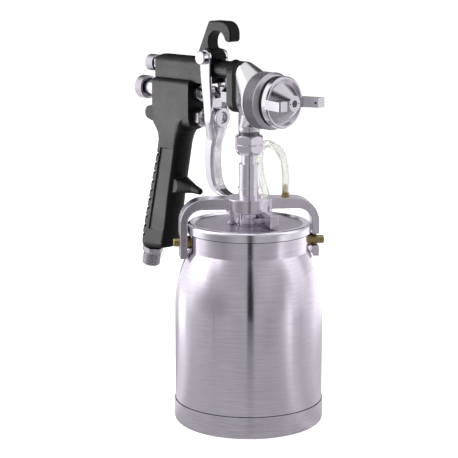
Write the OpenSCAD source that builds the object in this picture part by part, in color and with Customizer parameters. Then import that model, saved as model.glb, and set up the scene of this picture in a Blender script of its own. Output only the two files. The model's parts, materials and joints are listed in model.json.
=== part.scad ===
// Conventional spray gun with a quart siphon cup and a swinging yoke clamp.
// Millimetres. +X is the spray direction, +Z is up. The origin is the centre of the cup's foot.

/* [Cup] */
// Outer radius of the cup's straight wall
cup_r = 51; // [45:0.5:62]
// Height of the cup's rim above the floor
cup_h = 134.7; // [112:0.1:165]
// Thickness of the cup's wall
cup_wall = 1.5; // [1:0.1:2]
// Outer radius of the cup's neck
neck_r = 41; // [36:0.1:44]
// Height of the straight neck
neck_h = 13.7; // [12:0.1:20]
// Radius of the shoulder's arc, seen from the side
shoulder_r = 85; // [60:1:110]
// Height of the pressed dish round the cup's foot
dish_h = 15.9; // [8:0.1:25]
// Thickness of the dish's wall
dish_wall = 0.6; // [0.5:0.05:1]

/* [Lid and yoke] */
// Height of the lid's skirt
skirt_h = 6.3; // [5:0.1:8]
// Thickness of the lid's plate
lid_t = 1.8; // [1.4:0.1:2.4]
// Thickness of the lid's gasket
gasket_t = 1.7; // [1:0.1:2.5]
// Direction of the yoke, in degrees from the spray direction
yoke_dir = 52.5; // [30:0.5:60]
// Width of the yoke's bar
yoke_w = 14; // [12:0.1:16]
// Depth of the yoke's bar, top to bottom
yoke_bar_h = 7.4; // [6:0.1:9]
// Thickness of the yoke's legs
leg_t = 5; // [4.5:0.1:7]
// Radius of the brass clamp pins
pin_r = 2.9; // [2.4:0.1:3.2]
// Radius of the yoke's round boss
boss_r = 16; // [15:0.1:18]
// Angle of the cam lever's arm, in degrees from the spray direction
lever_dir = -26; // [-40:1:-15]

/* [Stem and nut] */
// Radius of the stem's collar and barrel
stem_r = 7.2; // [6.5:0.1:8]
// Length of the stem's barrel between its step ring and its neck
barrel_h = 16.3; // [12:0.1:22]
// Length of the stem's thin neck under the nut
stem_neck_h = 6.4; // [5:0.1:9]
// Height of the union nut
nut_h = 13.1; // [11:0.1:16]
// Width of the union nut across its flats
nut_af = 18; // [17:0.1:21]

/* [Gun] */
// Height of the needle's axis above the union nut
axis_above_nut = 24.7; // [24:0.1:30]
// Distance of the block's front face behind the inlet axis
block_back = 49.7; // [48:0.1:56]
// Length of the block, front face to rear face
block_len = 38; // [36:0.1:48]
// Width of the block's lower lobe
block_w = 20; // [19:0.1:23]
// Width of the block's upper lobe
lobe_w = 12.1; // [12:0.1:13.4]
// Radius of the bridge between the block and the flange
bridge_r = 6; // [5:0.1:6]
// Length of the grip along its own axis
grip_len = 90; // [80:0.5:110]
// Width of the grip, side to side
grip_w = 20; // [18:0.1:23]
// Lean of the grip away from upright, in degrees
grip_lean = 11.6; // [8:0.1:15]
// Number of grooves across the back of the grip
grip_grooves = 10; // [8:1:12]
// Thickness of the hanging hook
hook_w = 9.5; // [7:0.1:12]
// Radius of the hook's throat
throat_r = 8.2; // [6:0.1:9]
// Half width of the front flange
flange_w = 9; // [8.5:0.1:11]
// Height of the front flange
flange_h = 35; // [33:0.1:42]
// Thickness of the front flange
flange_t = 6.2; // [5:0.1:8]

/* [Trigger] */
// Thickness of each trigger arm
arm_t = 2.45; // [2:0.05:3]
// Width of the trigger's finger piece
finger_w = 10.6; // [9:0.1:13]
// Trigger travel, in degrees
trigger_pull = 7; // [5:0.5:7]

/* [Air cap] */
// Radius of the retaining ring's knurled band
ring_r = 19.3; // [19:0.1:21]
// Radius of the air cap's skirt
cap_r = 17.4; // [17:0.1:18.2]
// Distance between the tips of the two horns
horn_span = 43.2; // [40:0.1:46]
// Thickness of each horn
horn_t = 6.4; // [5:0.1:8]

/* [Knobs and inlet] */
// Radius of the fluid knob
fluid_knob_r = 8.25; // [7.8:0.05:10]
// Length of the fluid knob
fluid_knob_l = 7.4; // [6:0.1:10]
// Radius of the fan knob
fan_knob_r = 5.85; // [5.4:0.05:7]
// Length of the fan knob
fan_knob_l = 8; // [6:0.1:10]
// Radius of the air inlet's male thread
inlet_r = 6.58; // [6.5:0.01:6.7]
// Length of the air inlet's male thread
inlet_l = 8.2; // [7:0.1:12]

/* [Hidden] */
$fn = 96;
eps = 0.01;
fit = 0.05;      // radial clearance of a running fit
gap = 0.3;       // clearance between pieces that pass each other
alloy = [0.80, 0.80, 0.82];
bright = [0.88, 0.88, 0.9];
casting = [0.1, 0.1, 0.11];
brass_c = [0.62, 0.52, 0.26];
steel_c = [0.72, 0.72, 0.74];
black_c = [0.05, 0.05, 0.05];

// Cup
dish_t = 1.5;                                   // floor of the dish
dish_corner = 3.5;
dish_clear = 0.05;
cup_z0 = dish_t;
shoulder_rise = sqrt(pow(shoulder_r, 2) - pow(shoulder_r - (cup_r - neck_r), 2));
shoulder_z = cup_h - neck_h - shoulder_rise;
cup_corner = 3;

// Lid, from the cup's rim up
gasket_z = cup_h + gap;
lid_z = gasket_z + gasket_t;                    // underside of the lid's plate
lid_top = lid_z + lid_t;                        // matte floor of the lid
skirt_top = lid_top + 1.2;
skirt_z = skirt_top - skirt_h;
skirt_ri = neck_r + gap;
skirt_ro = skirt_ri + 1.2;

// Stem, from the lid up
hub_z = lid_top + 0.9;                          // underside of the lever's hub
foot_h = hub_z - gap - lid_top;                 // stem flange and post foot
boss_z = lid_top + 8.8;                         // underside of the yoke's boss
bar_z = boss_z + 2.1;
bar_top = bar_z + yoke_bar_h;
step_z = bar_top + 6.9;                         // step ring round the stem
barrel_top = step_z + barrel_h;
nut_z = barrel_top + stem_neck_h;
nut_top = nut_z + nut_h;
stem_bore = 3.2;
stem_neck_r = 5.25;
axis_z = nut_top + axis_above_nut;              // height of the needle's axis

// Clamp pins
pin_z = cup_h - 8.4;
pin_flange_r = pin_r + 1.6;
pin_flange_top = skirt_ro;                      // outer face of a pin's flange, from the axis
leg_ri = pin_flange_top + 0.4;
leg_ro = leg_ri + leg_t;
pin_end = leg_ro + 4.1;
leg_z = pin_z - 10.5;
notch_h = 2 * pin_r + 2.4;
notch_z = pin_z - pin_r - gap;                  // lower lip of a notch
yoke_corner_out = 17;
yoke_corner_in = yoke_corner_out - 7;

// Cam
cam_lug_at = 8.2;                               // distance of the lug from the stem's axis
cam_tilt = 6.1;                                 // tilt of the cam face, in degrees
cam_high = 10;                                  // direction of the cam's high side
cam_lug_dir = 60;
cam_mid = hub_z + 2.8;
hub_r = 9.8;
lever_r = 29;                                   // reach of the arm
lever_w = 5.7;
lever_side = 8.3;                               // offset of the arm from the stem's axis

// Guide post and barbs
post_r = 1.8;
post_at = 12;
post_dir = -139;
barb_r = 1.75;
tube_ri = 2.1;
tube_ro = 2.85;
barb_hex_h = 2.6;
barb_h = 8.4;
yoke_barb_at = 25.2;
lid_barb_xy = [-1, 20];

// Gun frame: x from the inlet axis, z from the needle's axis
block_x = -block_back - block_len;              // rear face
pivot = [-34.7, 25.8];
eye_r = 5.25;
stud_r = 3.2;                                   // pivot stud through the ear and both arms
arm_in = lobe_w / 2 + gap;                      // inner face of a trigger arm
arm_out = arm_in + arm_t;
fan_z = 18.1;
valve_z = -16.7;
valve_nut_x = -block_back + 7.2;                // front of the air valve's nut
flange_x = -13.2;
gasket_x = flange_x + flange_t;
head_x = gasket_x + 2.8;
flange_mid = 7.3;                               // centre of the flange's height
nose_x = 12;                                    // where the head becomes round
nose_r = 17.5;
ring_x = nose_x + 0.1;
ring_len = 14.7;
thread_r = 16.4;                                // head's front thread
cap_neck_r = 15.2;
clip_x = ring_x + ring_len - 3.6;
cap_face_x = 42.3;
horn_tip_x = 49.5;
inlet_neck_r = 7.4;
inlet_thread_r = 6.9;
needle_r = 1.6;
tip_r = 1;                                      // needle inside the nozzle's tip
rod_r = 3.6;
collar_x = -34;                                 // front of the needle's hub
needle_end = -block_back - 12;
chamber_r = 5.2;
pad_x = block_x + 6;
pad_t = 4;
fluid_knob_x = block_x - 13.9 - fluid_knob_l;
fan_knob_x = block_x - 4.3 - fan_knob_l;
grip_top = [-73.6, -28.5];
grip_foot = 6;                                  // rise of the grip's foot, back to front
// The grip's section, by distance down its axis: the end of its flat sides, the crown of its
// rounded front, its back, the radius of its back corners, and how much its front is narrower
grip_front = [[-16, 19], [-14.2, 16.8], [-12.4, 13.9], [-10.3, 11.3], [-7.6, 9.7], [-4.5, 8.8], [0, 8.4],
    [6, 8.2], [grip_len - 45, 8.3], [grip_len - 23, 9.3], [grip_len - 7, 9.6]];
grip_crown = [[-16, 2], [-9, 6], [-5, 8], [-2, 6.4], [2, 5], [8, 4.5], [grip_len - 25, 4.5],
    [grip_len - 7, 3.4]];
grip_back = [[-8, 16], [-5, 15.9], [-4, 15.6], [-2, 14.4], [0, 12.4], [2, 10.7], [4, 9.7], [8, 9.1], [18, 9],
    [grip_len - 42, 11], [grip_len - 11, 12.9], [grip_len - 3, 12.2]];
grip_corner = [[-6, 0.8], [-2, 2], [2, 3.2], [8, 5.2]];
grip_narrow = [[-8, 0], [6, 1]];
grip_stations = [18, 8, 6, 4, 2, 0, -2, -4, -5, -7.6, -10.3, -12.4, -14.2, -16];
block_low = -26.4;                              // lowest line of the block's round underside
inlet_off = -7.2;                               // inlet axis, from the grip's axis
inlet_face = grip_len + 1.35;                   // face that the inlet's hexagon is tightened on
hex_af = 13.8;
seat_r = 5.2;                                   // radius of the stem's conical seat

module at_axis() { translate([0, 0, axis_z]) children(); }
module along_x(x = 0, z = 0) { translate([x, 0, z]) rotate([0, 90, 0]) children(); }
module along_y(x = 0, y = 0, z = 0) { translate([x, y, z]) rotate([-90, 0, 0]) children(); }
module turned_x(points) { rotate([0, 90, 0]) rotate_extrude() polygon(points); }
module plate_y(w) { rotate([90, 0, 0]) translate([0, 0, -w / 2]) linear_extrude(w) children(); }
module hex(af, h) { cylinder(r = af / sqrt(3), h = h, $fn = 6); }
module ring(ro, ri, h) {
    difference() {
        cylinder(r = ro, h = h);
        translate([0, 0, -1]) cylinder(r = ri, h = h + 2);
    }
}
function arc(cx, cy, r, a0, a1, n = 12) = [for (i = [0:n]) let (a = a0 + (a1 - a0) * i / n)
    [cx + r * cos(a), cy + r * sin(a)]];
// Points of a rounded rectangle, corner to corner
function round_rect(x0, y0, x1, y1, r, n = 8) = concat(arc(x1 - r, y1 - r, r, 0, 90, n),
    arc(x0 + r, y1 - r, r, 90, 180, n), arc(x0 + r, y0 + r, r, 180, 270, n),
    arc(x1 - r, y0 + r, r, 270, 360, n));
// Outline of the shoulder's arc for a wall that lies d inside the outer surface
function shoulder(d, n = 24) = let (a1 = asin(shoulder_rise / shoulder_r))
    arc(cup_r - shoulder_r, shoulder_z, shoulder_r - d, 0, a1, n);

// ---------- Cup ----------
module cup_body() {
    color(bright)
    difference() {
        rotate_extrude($fn = 128) polygon(concat(
            [[0, cup_z0]], arc(cup_r - cup_corner, cup_z0 + cup_corner, cup_corner, -90, 0, 6),
            shoulder(0), [[neck_r, cup_h], [neck_r - cup_wall, cup_h]],
            [[neck_r - cup_wall, cup_h - neck_h]],
            [for (i = [24:-1:1]) shoulder(cup_wall)[i]],
            [[cup_r - cup_wall, shoulder_z], [cup_r - cup_wall, cup_z0 + cup_corner]],
            [[cup_r - cup_corner, cup_z0 + cup_wall], [0, cup_z0 + cup_wall]]));
        for (a = [0, 180]) rotate([0, 0, yoke_dir + a]) along_x(neck_r - 8, pin_z)
            cylinder(r = pin_r - 0.9 + fit, h = 12, $fn = 48);
    }
}
module cup_base() {
    color(alloy)
    rotate_extrude($fn = 128) polygon(concat([[0, 0]],
        arc(cup_r + dish_clear + dish_wall - dish_corner, dish_corner, dish_corner, -90, 0, 8),
        [[cup_r + dish_clear + dish_wall, dish_h], [cup_r + dish_clear, dish_h]],
        arc(cup_r + dish_clear - cup_corner, dish_t + cup_corner, cup_corner, 0, -90, 8),
        [[0, dish_t]]));
}
module cup_pins() {
    color(brass_c)
    for (a = [0, 180]) rotate([0, 0, yoke_dir + a]) {
        along_x(neck_r - 3.5, pin_z) cylinder(r = pin_r - 0.9, h = 6);
        along_x(neck_r - cup_wall - 2.2, pin_z) cylinder(r = pin_r, h = 1.4);
        difference() {
            along_x(neck_r - 2, pin_z) cylinder(r = pin_flange_r, h = pin_flange_top - neck_r + 2);
            translate([0, 0, pin_z - 6]) cylinder(r = neck_r + fit, h = 12, $fn = 128);
        }
        along_x(neck_r + 0.8, pin_z) cylinder(r = pin_r, h = pin_end - neck_r - 1.3);
        along_x(pin_end - 0.5, pin_z) cylinder(r1 = pin_r, r2 = pin_r - 0.5, h = 0.5);
    }
}

// ---------- Lid ----------
module lid() {
    edge = 1.1;
    color(bright)
    difference() {
        rotate_extrude($fn = 128) polygon(concat(
            [[0, lid_z], [skirt_ri, lid_z], [skirt_ri, skirt_z], [skirt_ro, skirt_z]],
            arc(skirt_ro - 2.4, skirt_top - 2.4, 2.4, 0, 90, 8),
            [[neck_r - 2.6, skirt_top]], [[neck_r - 3.6, lid_top], [0, lid_top]]));
        translate([0, 0, lid_z - 1]) cylinder(r = stem_bore + 2.4 + fit, h = 9, $fn = 64);
        translate([lid_barb_xy[0], lid_barb_xy[1], lid_z - 1]) cylinder(r = 1.6 + fit, h = 9, $fn = 32);
        rotate([0, 0, post_dir]) translate([post_at, 0, lid_z - 1]) cylinder(r = 1.2 + fit, h = 9, $fn = 32);
    }
}
module lid_gasket() {
    color([0.85, 0.85, 0.8])
    translate([0, 0, gasket_z]) ring(neck_r - gap, neck_r - 4.5, gasket_t, $fn = 128);
}
module stem() {
    color(bright)
    difference() {
        union() {
            translate([0, 0, lid_z - 6]) cylinder(r = stem_bore + 2.4, h = 8);
            translate([0, 0, lid_top]) cylinder(r = hub_r - 0.8, h = foot_h);
            translate([0, 0, lid_top]) cylinder(r = stem_r, h = step_z - lid_top);
            translate([0, 0, step_z - 0.9]) cylinder(r = stem_r + 0.45, h = 1.1);
            translate([0, 0, step_z]) cylinder(r = stem_r - 0.1, h = barrel_h);
            translate([0, 0, barrel_top - 0.5]) cylinder(r = stem_neck_r, h = stem_neck_h + 6);
            translate([0, 0, nut_z + 3.2]) cylinder(r = inlet_thread_r - 0.5, h = 2.2);
            translate([0, 0, nut_z + 5.4 - eps]) cylinder(r1 = seat_r, r2 = stem_bore + 0.6, h = 2.6);
        }
        translate([0, 0, lid_z - 10]) cylinder(r = stem_bore, h = nut_top - lid_z + 20);
        translate([0, 0, lid_z - 7]) cylinder(r = stem_bore + 1 + fit, h = 8);
    }
}
module siphon_tube() {
    color(alloy)
    translate([0, 0, cup_z0 + cup_wall + 4]) ring(stem_bore + 1, stem_bore, lid_z - cup_z0 - cup_wall - 4);
}
module guide_post() {
    color(bright)
    rotate([0, 0, post_dir]) translate([post_at, 0, 0]) {
        translate([0, 0, lid_z + 0.2]) cylinder(r = 1.2, h = 3);
        translate([0, 0, lid_top]) cylinder(r1 = 3, r2 = 2.6, h = foot_h);
        translate([0, 0, lid_top + foot_h - eps]) cylinder(r1 = 2.3, r2 = post_r, h = 1);
        translate([0, 0, lid_top]) cylinder(r = post_r, h = boss_z - lid_top + 3.2);
    }
}
// A hose barb that stands on z = 0
module barb(root_h) {
    hex(4.8, barb_hex_h);
    translate([0, 0, -root_h]) cylinder(r = 1.6, h = root_h + 1);
    translate([0, 0, barb_hex_h - 1]) cylinder(r = barb_r, h = barb_h - barb_hex_h - 2);
    translate([0, 0, barb_h - 3 - eps]) cylinder(r1 = barb_r, r2 = 0.9, h = 3);
}
module lid_barb() {
    color(brass_c) translate([lid_barb_xy[0], lid_barb_xy[1], lid_top]) barb(lid_t - 0.2);
}
module yoke_barb() {
    color(brass_c)
    rotate([0, 0, yoke_dir]) translate([yoke_barb_at, 0, bar_top]) barb(3);
}

// Centre line of the vent tube: three cubic curves, end to end
function cubic(p, t) = pow(1 - t, 3) * p[0] + 3 * pow(1 - t, 2) * t * p[1]
    + 3 * (1 - t) * t * t * p[2] + pow(t, 3) * p[3];
tube_from = [yoke_barb_at * cos(yoke_dir), yoke_barb_at * sin(yoke_dir), bar_top + barb_hex_h + 0.4];
tube_to = [lid_barb_xy[0], lid_barb_xy[1], lid_top + barb_hex_h + 0.4];
tube_apex = [-1.5, lid_barb_xy[1], bar_top + 34.4];
tube_waist = [-6.3, lid_barb_xy[1], bar_top + 6.2];
tube_straight = [0, 0, 6];                      // stretch on each barb
tube_curves = [
    [tube_from + tube_straight, tube_from + [0.6, 0, 19], tube_apex + [14, 0, 0], tube_apex],
    [tube_apex, tube_apex - [9.5, 0, 0], tube_waist + [-5.7, 0, 13], tube_waist],
    [tube_waist, tube_waist + [2.3, 0, -5.5], tube_to + [0, 0, 9], tube_to + tube_straight]];
tube_steps = 12;
tube_line = concat([tube_from], [for (c = tube_curves) for (i = [0:tube_steps - 1])
    cubic(c, i / tube_steps)], [tube_to + tube_straight, tube_to]);
tube_sides = 12;
function unit(v) = v / norm(v);
// The line stays in one upright plane, so its rings turn about the Y axis only
function tube_ring(i, r) = let (n = len(tube_line),
        d = i == 0 ? [0, 0, 1] : i == n - 1 ? [0, 0, -1] :
            unit(tube_line[i + 1] - tube_line[i - 1]),
        side = [0, 1, 0], up = unit(cross(d, side)))
    [for (k = [0:tube_sides - 1]) let (a = 360 * k / tube_sides)
        tube_line[i] + r * (cos(a) * side + sin(a) * up)];
module vent_tube() {
    n = len(tube_line);
    s = tube_sides;
    pts = concat([for (i = [0:n - 1]) each tube_ring(i, tube_ro)],
        [for (i = [0:n - 1]) each tube_ring(i, tube_ri)]);
    inner = n * s;
    walls = [for (i = [0:n - 2]) for (k = [0:s - 1]) let (j = (k + 1) % s)
        each [[i * s + k, i * s + j, (i + 1) * s + j], [i * s + k, (i + 1) * s + j, (i + 1) * s + k],
            [inner + i * s + k, inner + (i + 1) * s + j, inner + i * s + j],
            [inner + i * s + k, inner + (i + 1) * s + k, inner + (i + 1) * s + j]]];
    last = (n - 1) * s;
    ends = [for (k = [0:s - 1]) let (j = (k + 1) % s)
        each [[k, inner + k, inner + j], [k, inner + j, j],
            [last + k, inner + last + j, inner + last + k], [last + k, last + j, inner + last + j]]];
    color([0.93, 0.93, 0.9, 0.5]) polyhedron(pts, concat(walls, ends));
}

// ---------- Clamp ----------
module yoke_outline() {
    polygon(concat([[-leg_ro, leg_z], [-leg_ri, leg_z]],
        arc(-leg_ri + yoke_corner_in, bar_z - yoke_corner_in, yoke_corner_in, 180, 90, 10),
        arc(leg_ri - yoke_corner_in, bar_z - yoke_corner_in, yoke_corner_in, 90, 0, 10),
        [[leg_ri, leg_z], [leg_ro, leg_z]],
        arc(leg_ro - yoke_corner_out, bar_top - yoke_corner_out, yoke_corner_out, 0, 90, 14),
        arc(-leg_ro + yoke_corner_out, bar_top - yoke_corner_out, yoke_corner_out, 90, 180, 14)));
}
module yoke() {
    color(bright)
    difference() {
        union() {
            rotate([0, 0, yoke_dir]) plate_y(yoke_w) yoke_outline();
            translate([0, 0, boss_z]) cylinder(r = boss_r, h = bar_top - boss_z);
            rotate([0, 0, cam_lug_dir]) translate([cam_lug_at, 0, cam_mid + 1.1])
                cylinder(r = 1.5, h = boss_z - cam_mid, $fn = 32);
        }
        translate([0, 0, cam_mid]) cylinder(r = stem_r + fit, h = bar_top);
        rotate([0, 0, post_dir]) translate([post_at, 0, boss_z - 1])
            cylinder(r = post_r + gap, h = 5.5, $fn = 48);
        rotate([0, 0, yoke_dir]) translate([yoke_barb_at, 0, bar_top - 3.2])
            cylinder(r = 1.6 + fit, h = 4, $fn = 32);
        // Notches open opposite ways, so the cup twists out of both at once
        for (a = [0, 180]) rotate([0, 0, yoke_dir + a]) {
            translate([leg_ri - 1, -yoke_w, notch_z]) cube([leg_t + 2, yoke_w, notch_h]);
            along_x(leg_ri - 1, notch_z + notch_h / 2) cylinder(r = notch_h / 2, h = leg_t + 2, $fn = 64);
        }
        // The legs stand clear of the cup's shoulder
        rotate_extrude($fn = 128) polygon(concat([[0, shoulder_z]],
            shoulder(-0.6), [[neck_r + 0.6, cup_h - neck_h + 1], [0, cup_h - neck_h + 1]]));
    }
}
module cam_lever() {
    under = boss_z - 1.6;                       // top of the arm below the boss, yoke lowered
    arm_top = boss_z + 1.2;
    arm_start = 3;                              // clear of the yoke's lug
    color(bright)
    difference() {
        union() {
            difference() {
                translate([0, 0, hub_z]) cylinder(r = hub_r, h = 8);
                rotate([0, 0, cam_high]) translate([0, 0, cam_mid]) rotate([0, -cam_tilt, 0])
                    translate([-20, -20, 0]) cube([40, 40, 20]);
            }
            // The arm leaves the hub along a tangent; it is low where the boss is above it
            rotate([0, 0, lever_dir]) translate([arm_start, lever_side - lever_w / 2, hub_z]) {
                cube([lever_r - arm_start - 2, lever_w, under - hub_z]);
                cube([lever_r - arm_start, lever_w, arm_top - hub_z]);
            }
        }
        translate([0, 0, hub_z - 1]) cylinder(r = stem_r + fit, h = 20);
        // Room for the boss over the arm, and for the lug over the cam
        translate([0, 0, under]) cylinder(r = boss_r + 0.6, h = 20);
        translate([0, 0, cam_mid + 1.6]) cylinder(r = hub_r + 0.4, h = 20);
    }
}

// ---------- Union ----------
module union_nut() {
    waist = nut_h / 2 + 0.3;
    nut_turned = 22.6;                          // direction of one corner
    color(bright)
    rotate([0, 0, nut_turned]) translate([0, 0, nut_z]) difference() {
        intersection() {
            union() {
                hex(nut_af, waist - 0.35);
                translate([0, 0, waist + 0.35]) hex(nut_af, nut_h - waist - 0.35);
                cylinder(r = nut_af / 2 - 0.15, h = nut_h);
            }
            rotate_extrude() polygon([[0, 0], [nut_af / 2 - 1.2, 0], [nut_af / 2 + 0.9, 2.6],
                [nut_af / 2 + 1.6, 5], [nut_af / 2 + 1.6, nut_h - 1.8], [nut_af / 2 - 0.4, nut_h], [0, nut_h]]);
        }
        translate([0, 0, -1]) cylinder(r = stem_neck_r + fit, h = 10);
        translate([0, 0, 2.9]) cylinder(r = inlet_thread_r + fit, h = nut_h);
    }
}

// ---------- Casting ----------
module flange_outline(grow = 0) {
    translate([0, flange_mid]) {
        for (s = [-1, 1]) translate([0, s * (flange_h / 2 - flange_w)]) circle(r = flange_w + grow);
        square([2 * (flange_w + grow), flange_h - 2 * flange_w], center = true);
    }
}
// A plate with the flange's outline, its back at x
module flange_plate(x, t) {
    translate([x, 0, 0]) rotate([90, 0, 90]) linear_extrude(t) flange_outline();
}
module hook_outline() {
    throat = [-26.9, 36.2];
    difference() {
        polygon(concat([[-46.5, 26], [-44.7, 29.9], [-35.6, 48.6]], arc(-32.6, 47.9, 3, 150, 90, 4),
            arc(-22.2, 42.3, 8.6, 90, 0, 8), [[-13.7, 38.8], [-14.6, 37.6], [-16.7, 36.7]],
            [[-17.6, 37.0], [-20, 33], [-26, 25]]));
        translate(throat) circle(r = throat_r);
        polygon([[throat[0], throat[1] - throat_r], [-27, 26], [-10, 26], [-10, 36.2], [-17.4, 37.4],
            [-19.1, 38.6], throat]);
    }
}
// Section of the grip at w down its axis; a sloping section rises by rise, back to front
function grip_section(w, shrink = 0, rise = 0) = let (
        f = lookup(w, grip_front) - shrink * 0.5, c = lookup(w, grip_crown) - shrink * 0.5,
        b = lookup(w, grip_back) - shrink, y = grip_w / 2 - shrink * 0.8, r = lookup(w, grip_corner),
        flat = concat([for (a = [-90:15:90]) [f + c * cos(a), (y - lookup(w, grip_narrow)) * sin(a)]],
            arc(r - b, y - r, r, 90, 180, 4), arc(r - b, r - y, r, 180, 270, 4)))
    [for (p = flat) [p[0], p[1], rise * (p[0] + b) / (f + c + b) - w]];
// A solid through closed sections, listed from the bottom up
module loft(sections) {
    n = len(sections[0]);
    m = len(sections);
    walls = [for (i = [0:m - 2]) for (k = [0:n - 1]) let (j = (k + 1) % n)
        each [[i * n + k, (i + 1) * n + k, (i + 1) * n + j], [i * n + k, (i + 1) * n + j, i * n + j]]];
    polyhedron([for (q = sections) each q],
        concat([[for (k = [0:n - 1]) k]], walls, [[for (k = [n - 1:-1:0]) (m - 1) * n + k]]));
}
module in_grip() {
    translate([grip_top[0], 0, grip_top[1]]) rotate([0, grip_lean, 0]) children();
}
module grip() {
    groove_top = 18.5;
    groove_h = 1.7;
    corner_in = 1.5;                            // to the middle of the corner's curve
    panel_y = grip_w / 2 - 1.2;
    panel_slope = 17 * tan(grip_lean);
    in_grip() difference() {
        loft([grip_section(grip_len + 1.3, 1.6, grip_foot), grip_section(grip_len - 0.2, 0.5, grip_foot),
            grip_section(grip_len - 2.5, 0, grip_foot * 0.9), grip_section(grip_len - 10, 0, 1),
            grip_section(grip_len - 23), grip_section(grip_len - 45), for (w = grip_stations) grip_section(w)]);
        // Bare panel sunk into each side, level at its top and bottom
        for (s = [-1, 1]) translate([0, s * (panel_y + 2), 0]) plate_y(4)
            polygon([[-2.9, -13], [-4.1, 14.8 - grip_len], [12.9, 14.8 - grip_len + panel_slope],
                [14.1, panel_slope - 13]]);
        // Grooves across the back and round its corners
        for (i = [0:grip_grooves - 1]) let (w = groove_top + i * (grip_len - 27.7) / (grip_grooves - 1))
            translate([-lookup(w, grip_back), 0, -w - groove_h / 2]) linear_extrude(groove_h) {
                square([4.2, grip_w - 2 * corner_in], center = true);
                for (s = [-1, 1]) translate([corner_in, s * (grip_w / 2 - corner_in)])
                    rotate(-s * 45) square([4.2, 8.4], center = true);
            }
    }
}
module spur() {
    hull() {
        translate([-71, 0, -67.2]) rotate([90, 0, 0]) cylinder(r = 5.5, h = 13, center = true, $fn = 24);
        translate([-56, 0, -68.5]) sphere(r = 3.4, $fn = 24);
    }
    hull() {
        translate([-56, 0, -68.5]) sphere(r = 3.4, $fn = 24);
        translate([-49.2, 0, -69.8]) sphere(r = 2.4, $fn = 24);
    }
}
module block_outline() {
    polygon([[-block_back, block_low + 3.5], [-block_back, 8.6], [block_x, 8.6], [block_x, -19],
        [block_x + 1.2, -24], [block_x + 3.4, block_low], [-block_back - 3.5, block_low]]);
}
module block_section() {
    r = 3;
    half = block_w / 2;
    round_z = block_low + half;
    translate([-half, round_z]) square([block_w, 8.6 - r - round_z]);
    translate([r - half, round_z]) square([block_w - 2 * r, 8.6 - round_z]);
    for (s = [-1, 1]) translate([s * (half - r), 8.6 - r]) circle(r = r);
    translate([0, round_z]) circle(r = half);
}
module lobe_section() {
    r = lobe_w / 2 - 0.8;
    top = 25.3;
    translate([-lobe_w / 2, 0]) square([lobe_w, top - r]);
    translate([-lobe_w / 2 + r, 0]) square([lobe_w - 2 * r, top]);
    for (s = [-1, 1]) translate([s * (lobe_w / 2 - r), top - r]) circle(r = r);
}
module extrude_x(x0, x1) { translate([x0, 0, 0]) rotate([90, 0, 90]) linear_extrude(x1 - x0) children(); }
module gun_body_solid() {
    intersection() {
        extrude_x(block_x, -block_back) block_section();
        plate_y(block_w + 2) block_outline();
    }
    // Upper lobe, with its rear top corner rounded
    intersection() {
        extrude_x(block_x - 0.9, pivot[0]) lobe_section();
        plate_y(lobe_w + 2) polygon(concat([[pivot[0], 7.2], [pivot[0], 30]],
            arc(block_x + 5.1, 19.3, 6, 90, 180, 8), [[block_x - 0.9, 7.2]]));
    }
    along_y(pivot[0], -lobe_w / 2, pivot[1]) cylinder(r = 5.9, h = lobe_w);
    along_x(pivot[0] - 4, fan_z) cylinder(r = bridge_r, h = flange_x - pivot[0] + 5);
    // Fillet from the bridge into the flange
    along_x(flange_x - 3.4, fan_z) cylinder(r1 = bridge_r, r2 = bridge_r + 1.6, h = 3.5);
    flange_plate(flange_x, flange_t);
    plate_y(hook_w) hook_outline();
    grip();
    in_grip() translate([inlet_off, 0, -inlet_face]) cylinder(r = 6.4, h = 8);
    spur();
    // Hump over the web of the hand
    hull() {
        along_y(-99.4, -2.2, -18) cylinder(r = 4.9, h = 4.4, $fn = 32);
        along_y(block_x + 3, -3.4, -14) cylinder(r = 4.2, h = 6.8, $fn = 32);
        along_y(block_x + 5, -3.4, -22) cylinder(r = 4.2, h = 6.8, $fn = 32);
    }
}
module gun_body() {
    passage_y = (block_w / 2 + chamber_r) / 2;
    color(casting)
    at_axis() difference() {
        gun_body_solid();
        // Pivot screw
        along_y(pivot[0], -20, pivot[1]) cylinder(r = stud_r + 0.02, h = 40, $fn = 64);
        // Needle chamber, its front bushing and its rear thread
        along_x(block_x - 1, 0) cylinder(r = chamber_r, h = block_len - 5);
        along_x(-block_back - 8, 0) cylinder(r = 4.5 + fit, h = 10);
        // Air valve chamber
        along_x(-block_back - 31.5, valve_z) cylinder(r = 4.2, h = 35);
        along_x(-block_back - 6, valve_z) cylinder(r = 5 + fit, h = 10);
        // Fan air bore through the lobe and the bridge
        along_x(block_x - 3, fan_z) cylinder(r = 3.4, h = flange_x - block_x + flange_t + 4);
        // Cross passages from the air valve up to the fan bore
        translate([-block_back - 12, passage_y, valve_z]) cylinder(r = 1.6, h = fan_z - valve_z - 11);
        along_y(-block_back - 12, 0, valve_z) cylinder(r = 1.6, h = passage_y);
        // Air inlet passage and its thread
        in_grip() translate([inlet_off, 0, 6 - grip_len]) rotate([0, 4.5, 0])
            cylinder(r = 2.6, h = grip_len + 4);
        in_grip() translate([inlet_off, 0, -grip_len - 8]) cylinder(r = 5 + fit, h = 15);
        // Needle passage through the flange, tapped for the packing nut
        along_x(flange_x - 1, 0) cylinder(r = 5 + fit, h = flange_t + 2);
    }
}
module head_gasket() {
    color(black_c)
    at_axis() difference() {
        flange_plate(gasket_x, head_x - gasket_x);
        along_x(gasket_x - 1, 0) cylinder(r = 5.2, h = 6);
        along_x(gasket_x - 1, fan_z) cylinder(r = 3.4, h = 6);
    }
}

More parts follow.
